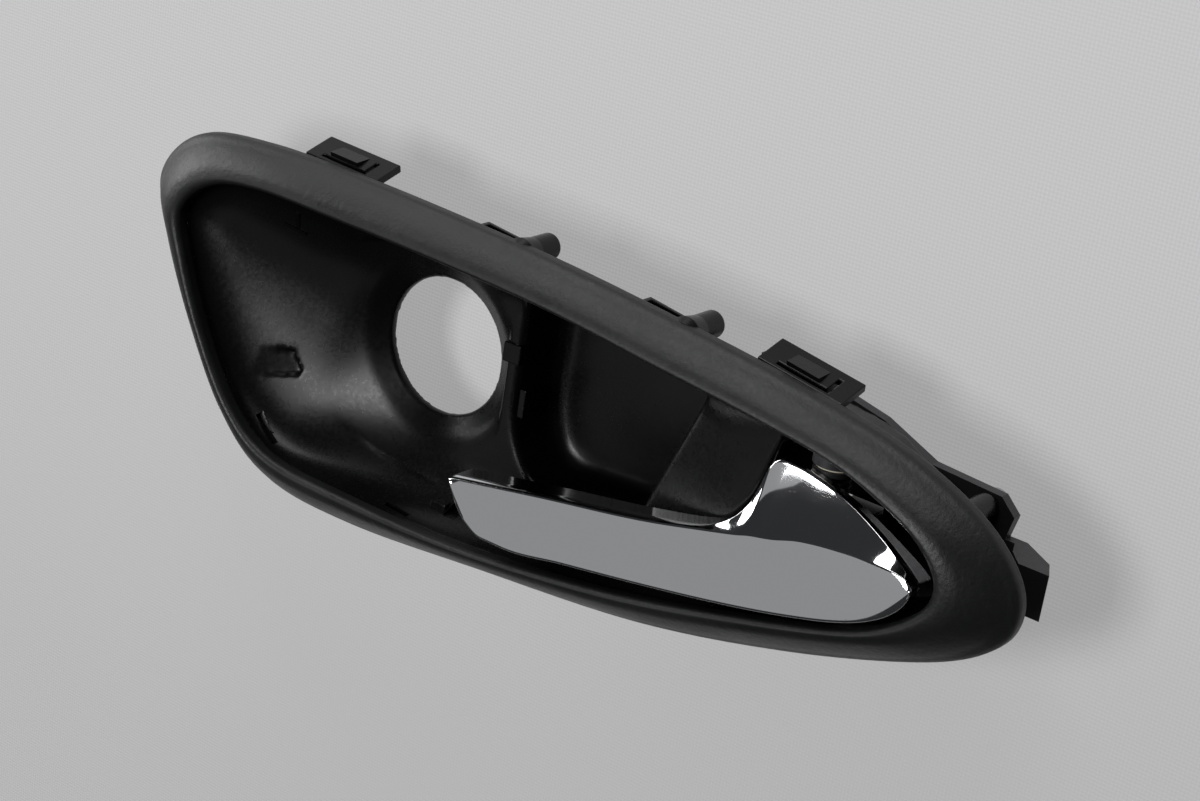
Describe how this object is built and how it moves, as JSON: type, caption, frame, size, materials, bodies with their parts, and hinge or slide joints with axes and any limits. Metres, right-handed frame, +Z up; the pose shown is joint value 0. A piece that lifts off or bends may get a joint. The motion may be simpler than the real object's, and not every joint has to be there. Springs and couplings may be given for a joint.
{
  "type": "vehicle interior door handle",
  "caption": "Inside door handle with a tapered trim surround, a moulded finger bowl with a round switch opening, and a sprung plated pull lever.",
  "frame": {"origin": "centre of the round switch hole, on the front edge of its bore", "axes": "+X along the handle from the wide end to the pointed end, +Y towards the back, into the door trim, +Z up, along the lever's pivot pin"},
  "size_m": [0.2338, 0.0453, 0.0838],
  "materials": {
    "surround_plastic": "fine grained, charcoal",
    "bowl_plastic": "fine grained, black",
    "carrier_plastic": "moulded, satin black",
    "lever_chrome": "bright plated",
    "core_plastic": "moulded, satin black",
    "pin_steel": "zinc plated",
    "bush_plastic": "natural bearing plastic",
    "spring_steel": "drawn wire",
    "buffer_rubber": "matt",
    "screw_steel": "zinc plated",
    "insert_brass": "machined"
  },
  "bodies": {
    "housing": {"bezel": "surround_plastic", "bowl": "bowl_plastic", "switch_socket": "bowl_plastic", "carrier": "carrier_plastic", "pivot_pin": "pin_steel", "pivot_bushes": "bush_plastic", "pin_clip": "spring_steel", "return_spring": "spring_steel", "rest_buffer": "buffer_rubber", "travel_buffer": "buffer_rubber", "carrier_screws": "screw_steel", "fixing_inserts": "insert_brass"},
    "lever": {"lever_cover": "lever_chrome", "lever_core": "core_plastic", "cover_screws": "screw_steel"}
  },
  "joints": [
    {"name": "lever_pivot", "type": "hinge", "parent": "housing", "child": "lever", "pos_m": [0.11, -0.013, 0], "axis": [0, 0, 1], "range_deg": [0, 32], "stiffness_Nm_per_rad": 0.35, "springref_deg": -14.32, "deforming": ["return_spring"]}
  ]
}
